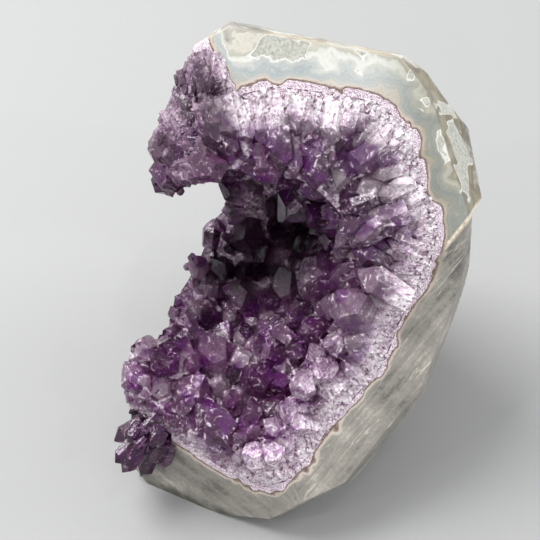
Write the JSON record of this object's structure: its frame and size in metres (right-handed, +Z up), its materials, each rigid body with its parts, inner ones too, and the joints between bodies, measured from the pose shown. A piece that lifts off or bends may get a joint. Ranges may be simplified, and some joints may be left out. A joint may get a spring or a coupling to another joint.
{
  "type": "amethyst geode",
  "caption": "Freestanding cut geode: ground stone rind with an agate band round an open cave lined with amethyst crystals, on a flat sawn base.",
  "frame": {"origin": "on the sawn base, under the middle of the stone's bounding box", "axes": "+Z up; -Y is the front that the leaning mouth of the cave faces; +X to the right of a viewer in front"},
  "size_m": [0.1418, 0.1399, 0.1647],
  "materials": {
    "agate_rind": "ground and half polished grey agate and basalt, rough ground on the back",
    "amethyst": "clear to milky purple quartz points with bright glassy faces, whitish at the root"
  },
  "bodies": {
    "root": {"rind": "agate_rind", "amethyst_crystals": "amethyst"}
  },
  "joints": []
}
